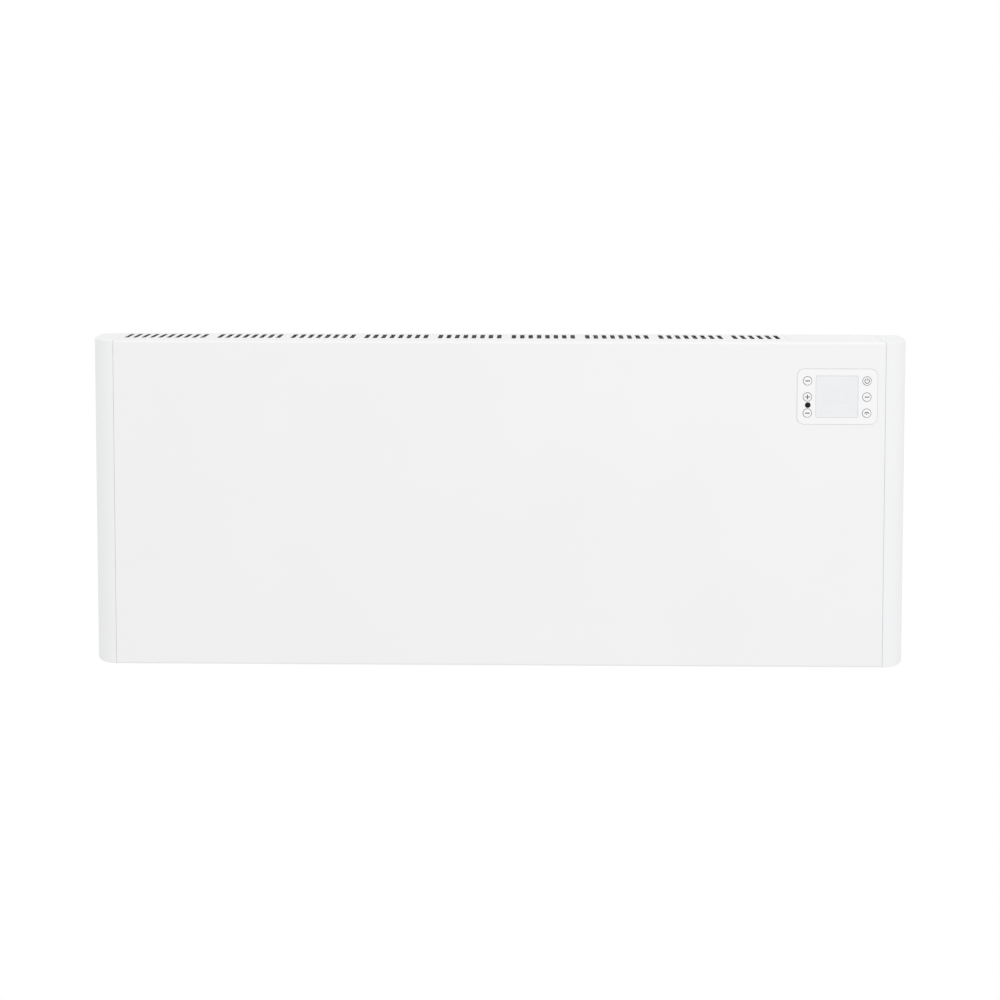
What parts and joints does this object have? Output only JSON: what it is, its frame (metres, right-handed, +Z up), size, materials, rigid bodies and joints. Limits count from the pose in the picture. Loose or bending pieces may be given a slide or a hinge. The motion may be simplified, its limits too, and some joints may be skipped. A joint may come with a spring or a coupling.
{
  "type": "wall panel convector heater",
  "caption": "Wide flat wall heater with a folded sheet front, curved end caps, slotted top outlet and a corner control panel with display and push keys, hung on a wall rail.",
  "frame": {"origin": "centre of the wall rail's back face, on the wall", "axes": "+X to the right of someone facing the heater, along its length; +Y towards the wall; +Z up"},
  "size_m": [1.0111, 0.1059, 0.402],
  "materials": {
    "white_paint": "fine satin powder coat",
    "white_plastic": "smooth satin moulding",
    "gloss_white": "smooth semi-gloss",
    "display_glass": "clear gloss cover over a pale display",
    "black_lens": "gloss, passes infrared",
    "galvanised": "galvanised sheet with faint spangle",
    "aluminium": "plain extruded and pressed",
    "zinc_steel": "bright zinc plate",
    "ceramic": "unglazed ceramic",
    "board_green": "solder mask",
    "black_plastic": "fine matt moulding",
    "blue_plastic": "smooth",
    "red_wire": "silicone insulation",
    "blue_wire": "silicone insulation"
  },
  "bodies": {
    "wall_rail": {"wall_rail": "zinc_steel"},
    "heater": {"front_panel": "white_paint", "top_grille": "white_paint", "bottom_grille": "white_paint", "control_lid": "white_paint", "back_panel": "galvanised", "left_end_cap": "white_plastic", "right_end_cap": "white_plastic", "left_end_plate": "galvanised", "right_end_plate": "galvanised", "partition_plate": "galvanised", "heat_shield": "galvanised", "element_lower": "aluminium", "element_lower_bush_left": "ceramic", "element_lower_bush_right": "ceramic", "element_upper": "aluminium", "element_upper_bush_left": "ceramic", "element_upper_bush_right": "ceramic", "thermal_cutout": "ceramic", "control_fascia": "gloss_white", "display_window": "display_glass", "lcd_module": "black_plastic", "receiver_window": "black_lens", "control_board": "board_green", "power_board": "board_green", "board_tray": "black_plastic", "relay_lower": "blue_plastic", "relay_upper": "blue_plastic", "power_transformer": "black_plastic", "smoothing_capacitor": "black_plastic", "terminal_block": "black_plastic", "power_switch_housing": "black_plastic", "rocker_pin": "zinc_steel", "cable_gland": "black_plastic", "room_sensor": "black_plastic", "wire_lower_element": "red_wire", "wire_upper_element": "red_wire", "wire_switch_live": "red_wire", "wire_switch_neutral": "blue_wire", "display_cable": "black_plastic", "cap_screw_right_lower": "zinc_steel", "cap_screw_left_lower": "zinc_steel", "cap_screw_right_upper": "zinc_steel", "cap_screw_left_upper": "zinc_steel", "spacer_screw_left": "zinc_steel", "spacer_screw_right": "zinc_steel", "lower_spacer_left": "white_plastic", "lower_spacer_right": "white_plastic"},
    "key_mode": {"key_mode": "gloss_white"},
    "key_plus": {"key_plus": "gloss_white"},
    "key_minus": {"key_minus": "gloss_white"},
    "key_power": {"key_power": "gloss_white"},
    "key_set": {"key_set": "gloss_white"},
    "key_timer": {"key_timer": "gloss_white"},
    "power_rocker": {"power_rocker": "black_plastic"}
  },
  "joints": [
    {"name": "heater_lift", "type": "slide", "parent": "wall_rail", "child": "heater", "axis": [0, 0, 1], "range_m": [0, 0.0135]},
    {"name": "key_mode_push", "type": "slide", "parent": "heater", "child": "key_mode", "axis": [0, 1, 0], "range_m": [0, 0.0006], "stiffness_N_per_m": 1500, "springref_m": -0.0004},
    {"name": "key_plus_push", "type": "slide", "parent": "heater", "child": "key_plus", "axis": [0, 1, 0], "range_m": [0, 0.0006], "stiffness_N_per_m": 1500, "springref_m": -0.0004},
    {"name": "key_minus_push", "type": "slide", "parent": "heater", "child": "key_minus", "axis": [0, 1, 0], "range_m": [0, 0.0006], "stiffness_N_per_m": 1500, "springref_m": -0.0004},
    {"name": "key_power_push", "type": "slide", "parent": "heater", "child": "key_power", "axis": [0, 1, 0], "range_m": [0, 0.0006], "stiffness_N_per_m": 1500, "springref_m": -0.0004},
    {"name": "key_set_push", "type": "slide", "parent": "heater", "child": "key_set", "axis": [0, 1, 0], "range_m": [0, 0.0006], "stiffness_N_per_m": 1500, "springref_m": -0.0004},
    {"name": "key_timer_push", "type": "slide", "parent": "heater", "child": "key_timer", "axis": [0, 1, 0], "range_m": [0, 0.0006], "stiffness_N_per_m": 1500, "springref_m": -0.0004},
    {"name": "rocker_tilt", "type": "hinge", "parent": "heater", "child": "power_rocker", "pos_m": [0.5008, -0.036, -0.203], "axis": [0, 1, 0], "range_deg": [0, 18]}
  ]
}
